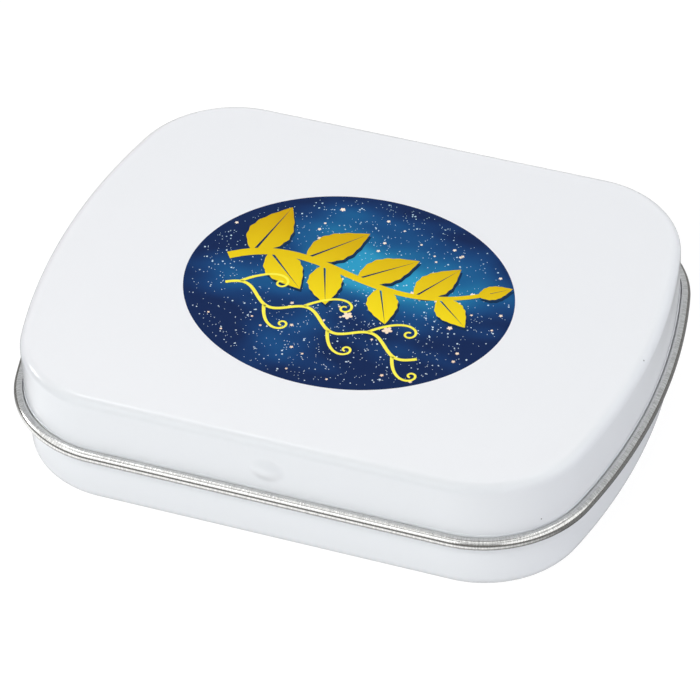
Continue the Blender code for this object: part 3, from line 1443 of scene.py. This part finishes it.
    def build(self, collection: bpy.types.Collection) -> None:
        """Print every film.

        Args:
            collection: Where they go.
        """
        stem, leaves = self.sprig()
        sugar = self.rosettes(
            self.grains, self.grain_radius, self.grain_sizes, 0.0, self.grain_sides,
            self.grain_seed,
        )
        blossom = self.rosettes(
            self.blossoms, self.blossom_radius, self.blossom_sizes, self.petal_depth,
            self.blossom_steps, self.blossom_seed,
        )
        gold_ink = SpotInk("#FFE81C", "#C99C00", patch_share=0.15, fade_mm=(-5.0, 8.0))
        gold = gold_ink.build("gold_ink")
        shade = SpotInk("#0A2344", "#0D3556").build("shade_ink")
        films = (
            (Layer.FIELD, self.field(), NightInk().build("night_ink")),
            (Layer.SUGAR, sugar, SpotInk("#DCE8F4", "#B8DCEC").build("sugar_ink")),
            (Layer.BLOSSOM, blossom, SpotInk("#F8D8B8", "#FFF4E4").build("blossom_ink")),
            (Layer.SHADE, leaves.moved(*self.shade_offset), shade),
            (Layer.LEAVES, leaves, gold),
            (Layer.STEM, stem, gold),
            (Layer.TENDRIL, self.tendrils(), SpotInk("#FFF25A", "#F6EC3C").build("tendril_ink")),
        )
        for layer, art, material in films:
            self.ink(layer, art, material, collection)


@dataclass(frozen=True)
class Board:
    """A board seen in shiny surfaces only: azimuths from the front to +X, elevations, degrees."""

    name: str
    azimuth: tuple[float, float]
    elevation: tuple[float, float]
    colour: str
    strength: float = 1.0
    distance: float = 1.1


@dataclass(frozen=True)
class Lamp:
    """A soft box, its place in degrees and metres, its size and watts. It is not mirrored."""

    name: str
    azimuth: float
    elevation: float
    distance: float
    size: tuple[float, float]
    power: float
    colour: str


# Large soft boxes all round, whose watts give each side of the tin the shade it has in the
# photograph, and a narrow one close by for the fall of light along the front.
LAMPS = (
    Lamp("lamp_front", 0.0, 46.0, 1.2, (0.9, 0.55), 4.753, "#F3FEFF"),
    Lamp("lamp_front_left", -45.0, 18.0, 1.2, (0.9, 0.55), 3.432, "#E9F5FF"),
    Lamp("lamp_right", 90.0, 18.0, 1.2, (0.9, 0.55), 5.4, "#F3F5FF"),
    Lamp("lamp_back_right", 135.0, 18.0, 1.2, (0.9, 0.55), 2.48, "#F7FFFB"),
    Lamp("lamp_back", 180.0, 46.0, 1.2, (0.9, 0.55), 6.974, "#FFFFFD"),
    Lamp("lamp_back_left", 225.0, 18.0, 1.2, (0.9, 0.55), 5.456, "#FFF5FB"),
    Lamp("lamp_near", -22.0, 45.0, 0.25, (0.3, 0.1), 0.218, "#FFF6EF"),
)
# What the shiny surfaces mirror, ring by ring from the horizon up. The last three stand before
# the others and give the lid's edge and the rim their highlights.
BOARDS = (
    Board("board_horizon", (-180.0, 180.0), (0.0, 9.5), "#686159"),
    Board("board_back", (116.0, 265.0), (9.5, 60.0), "#D3D5D8"),
    Board("board_right", (34.0, 116.0), (9.5, 45.0), "#FFFFFF", 1.45),
    Board("board_right_high", (34.0, 116.0), (45.0, 60.0), "#C4C4C4"),
    Board("board_middle", (-4.0, 34.0), (9.5, 34.0), "#B7B7B7"),
    Board("board_middle_high", (-4.0, 34.0), (34.0, 60.0), "#F8F8F8"),
    Board("board_front_low", (-50.0, -4.0), (9.5, 21.0), "#FFFFFF", 1.33),
    Board("board_front", (-50.0, -4.0), (21.0, 34.0), "#FFFFFF", 1.71),
    Board("board_front_high", (-50.0, -4.0), (34.0, 46.0), "#FFFFFF", 2.44),
    Board("board_front_top", (-50.0, -4.0), (46.0, 60.0), "#C0C0C0"),
    Board("board_left", (-95.0, -50.0), (9.5, 60.0), "#FFFFFF", 1.35),
    Board("board_over", (-180.0, 180.0), (60.0, 74.0), "#FFFFFF", 1.4),
    Board("board_top", (-180.0, 180.0), (74.0, 90.0), "#B7B7B7"),
    Board("board_over_left", (-128.0, -98.0), (59.0, 73.0), "#FFFFFF", 5.0, 1.0),
    Board("board_over_back", (136.0, 164.0), (64.0, 74.0), "#FFFFFF", 2.6, 1.0),
    Board("board_left_edge", (-92.0, -78.0), (10.0, 26.0), "#FFFFFF", 7.0, 1.0),
)


@dataclass
class Studio:
    """Floor, boards, lamps, sky and camera.

    The lamps light the object evenly, and shiny surfaces mirror the boards and the table.
    """

    azimuth: float = math.radians(22.084)
    elevation: float = math.radians(41.319)
    roll: float = math.radians(-2.438)
    distance: float = 428.33 * MM
    target: tuple[float, float, float] = (0.204 * MM, -1.891 * MM, 6.386 * MM)
    lens: float = 234.48
    table_colour: str = "#EFEFEF"
    contact_distance: float = 0.004
    table_share: float = 0.8
    table_white: float = 1.1
    table_fill: float = 0.78
    table_radius: float = 6.0
    board_columns: int = 48
    board_rows: int = 8
    # A pool of light and its dim surround, painted into what shiny surfaces see of the table.
    pool_centre: tuple[float, float, float] = (-0.0042, -0.028, 0.0)
    pool_stretch: tuple[float, float, float] = (0.35, 1.0, 1.0)
    pool_inner: float = 0.011
    pool_outer: float = 0.019
    pool_bright: float = 1.43
    pool_dim: float = 0.25

    def build_camera(self) -> None:
        """Put the camera at the photograph's angle, with the photograph's small roll."""
        a, e = self.azimuth, self.elevation
        back = Vector((math.sin(a) * math.cos(e), -math.cos(a) * math.cos(e), math.sin(e)))
        right = Vector((math.cos(a), math.sin(a), 0.0))
        up = back.cross(right)
        c, s = math.cos(self.roll), math.sin(self.roll)
        turned_right = c * right + s * up
        turned_up = c * up - s * right
        data = bpy.data.cameras.new("camera")
        data.lens = self.lens
        data.clip_start = 0.01
        camera = bpy.data.objects.new("camera", data)
        matrix = Matrix((turned_right, turned_up, back)).transposed().to_4x4()
        matrix.translation = Vector(self.target) + back * self.distance
        camera.matrix_world = matrix
        bpy.context.scene.collection.objects.link(camera)
        bpy.context.scene.camera = camera

    def build_floor(self) -> None:
        """A matt white table, white to the eye, that keeps the object's shadow.

        In shiny surfaces it shows a painted pool of light before the tin, painted shade past it
        to the back and right, and a painted contact shadow where things touch it. On pale ones
        it throws a soft light back up.
        """
        material = bpy.data.materials.new("white_table")
        material.use_nodes = True
        tree = material.node_tree
        tree.nodes.clear()
        path = add_node(tree, "ShaderNodeLightPath")
        matt = add_node(tree, "ShaderNodeBsdfDiffuse", {"Color": linear(self.table_colour)})
        glow = add_node(
            tree, "ShaderNodeMapRange",
            {
                "Value": path.outputs["Is Diffuse Ray"],
                "To Min": self.table_white,
                "To Max": self.table_fill,
            },
        )
        white = add_node(tree, "ShaderNodeEmission", {"Strength": glow.outputs["Result"]})
        to_eye = add_node(
            tree, "ShaderNodeMixShader",
            {0: self.table_share, 1: matt.outputs["BSDF"], 2: white.outputs["Emission"]},
        )
        place = add_node(tree, "ShaderNodeTexCoord").outputs["Object"]
        squeezed = add_node(
            tree, "ShaderNodeVectorMath", {0: place, 1: self.pool_stretch}, operation="MULTIPLY"
        )
        # Painted light and shade: the mirrored table is bright near the pool's centre and dim
        # beyond it.
        away = add_node(
            tree, "ShaderNodeVectorMath",
            {0: squeezed.outputs["Vector"], 1: self.pool_centre}, operation="DISTANCE",
        )
        lit = add_node(
            tree, "ShaderNodeMapRange",
            {
                "Value": away.outputs["Value"],
                "From Min": self.pool_inner,
                "From Max": self.pool_outer,
                "To Min": self.pool_bright,
                "To Max": self.pool_dim,
            },
        )
        # Painted contact shadow: occlusion darkens the mirrored table where things touch it.
        contact = add_node(
            tree, "ShaderNodeAmbientOcclusion", {"Distance": self.contact_distance}, samples=4
        )
        shaded = add_node(
            tree, "ShaderNodeMath",
            {0: lit.outputs["Result"], 1: contact.outputs["AO"]},
            operation="MULTIPLY",
        )
        mirrored = add_node(tree, "ShaderNodeEmission", {"Strength": shaded.outputs["Value"]})
        both = add_node(
            tree, "ShaderNodeMixShader",
            {
                0: path.outputs["Is Glossy Ray"],
                1: to_eye.outputs["Shader"],
                2: mirrored.outputs["Emission"],
            },
        )
        add_node(tree, "ShaderNodeOutputMaterial", {"Surface": both.outputs["Shader"]})
        work = bmesh.new()
        bmesh.ops.create_grid(work, x_segments=1, y_segments=1, size=self.table_radius)
        mesh = bpy.data.meshes.new("table")
        work.to_mesh(mesh)
        work.free()
        mesh.materials.append(material)
        table = bpy.data.objects.new("table", mesh)
        bpy.context.scene.collection.objects.link(table)

    def build_board(self, board: Board) -> None:
        """Hang a curved board that the camera doesn't see.

        A place on it is its distance times the cosines and sines of azimuth and elevation.

        Args:
            board: The board.
        """
        azimuth = np.radians(np.linspace(*board.azimuth, self.board_columns + 1))[None, :]
        elevation = np.radians(np.linspace(*board.elevation, self.board_rows + 1))[:, None]
        grid = np.stack(
            np.broadcast_arrays(
                board.distance * np.cos(elevation) * np.sin(azimuth),
                -board.distance * np.cos(elevation) * np.cos(azimuth),
                board.distance * np.sin(elevation) + self.target[2],
            ),
            -1,
        )
        quads = grid_quads(*grid.shape[:2], closed=False)
        mesh = build_mesh(board.name, grid.reshape(-1, 3), quads)
        material = bpy.data.materials.new(board.name)
        material.use_nodes = True
        tree = material.node_tree
        tree.nodes.clear()
        light = add_node(
            tree, "ShaderNodeEmission", {"Color": linear(board.colour), "Strength": board.strength}
        )
        add_node(tree, "ShaderNodeOutputMaterial", {"Surface": light.outputs["Emission"]})
        mesh.materials.append(material)
        piece = bpy.data.objects.new(board.name, mesh)
        piece.visible_camera = False
        piece.visible_diffuse = False
        piece.visible_shadow = False
        piece.visible_transmission = False
        bpy.context.scene.collection.objects.link(piece)

    def build_lamp(self, lamp: Lamp) -> None:
        """Hang a soft box that points at the tin.

        Args:
            lamp: The soft box.
        """
        a, e = math.radians(lamp.azimuth), math.radians(lamp.elevation)
        back = Vector((math.sin(a) * math.cos(e), -math.cos(a) * math.cos(e), math.sin(e)))
        data = bpy.data.lights.new(lamp.name, "AREA")
        data.shape = "RECTANGLE"
        data.size, data.size_y = lamp.size
        data.energy = lamp.power
        data.color = linear(lamp.colour)[:3]
        piece = bpy.data.objects.new(lamp.name, data)
        piece.rotation_euler = back.to_track_quat("Z", "Y").to_euler()
        piece.location = Vector(self.target) + back * lamp.distance
        piece.visible_glossy = False
        bpy.context.scene.collection.objects.link(piece)

    def build_sky(self) -> None:
        """An even sky: white to the eye, in shiny surfaces and through glass, and no light."""
        world = bpy.data.worlds.new("studio")
        world.use_nodes = True
        tree = world.node_tree
        tree.nodes.clear()
        path = add_node(tree, "ShaderNodeLightPath")
        seen = add_node(
            tree, "ShaderNodeMath",
            {0: path.outputs["Is Camera Ray"], 1: path.outputs["Is Glossy Ray"]},
            operation="MAXIMUM",
        )
        shown = add_node(
            tree, "ShaderNodeMath",
            {0: seen.outputs["Value"], 1: path.outputs["Is Transmission Ray"]},
            operation="MAXIMUM",
        )
        light = add_node(
            tree, "ShaderNodeBackground",
            {"Color": linear("#FFFFFF"), "Strength": shown.outputs["Value"]},
        )
        add_node(tree, "ShaderNodeOutputWorld", {"Surface": light.outputs["Background"]})
        bpy.context.scene.world = world

    def build(self) -> None:
        """Build the whole studio."""
        self.build_camera()
        self.build_floor()
        self.build_sky()
        for board in BOARDS:
            self.build_board(board)
        for lamp in LAMPS:
            self.build_lamp(lamp)
        bpy.context.scene.view_settings.view_transform = "Standard"


def main() -> None:
    """Build the studio and the tin."""
    logging.basicConfig(level=logging.INFO, format="%(name)s %(message)s")
    Studio().build()
    collection = bpy.data.collections.new("mint_tin")
    bpy.context.scene.collection.children.link(collection)
    tin = Tin()
    lid = Lid(tin)
    enamel = Enamel().build("white_enamel")
    worn = Enamel(marks=WEAR_MARKS).build("worn_enamel")
    metal = Tinplate().build("bare_tinplate")
    # The curled tinplate carries the painted shade band on the roll's underside.
    curled = Tinplate(painted_shade_band_mm=lid.roll_underside()).build("curled_tinplate")
    Base(tin).build(enamel, metal, collection)
    lid.build(worn, curled, collection)
    Print(tin, lid.top).build(collection)


if __name__ == "__main__":
    main()
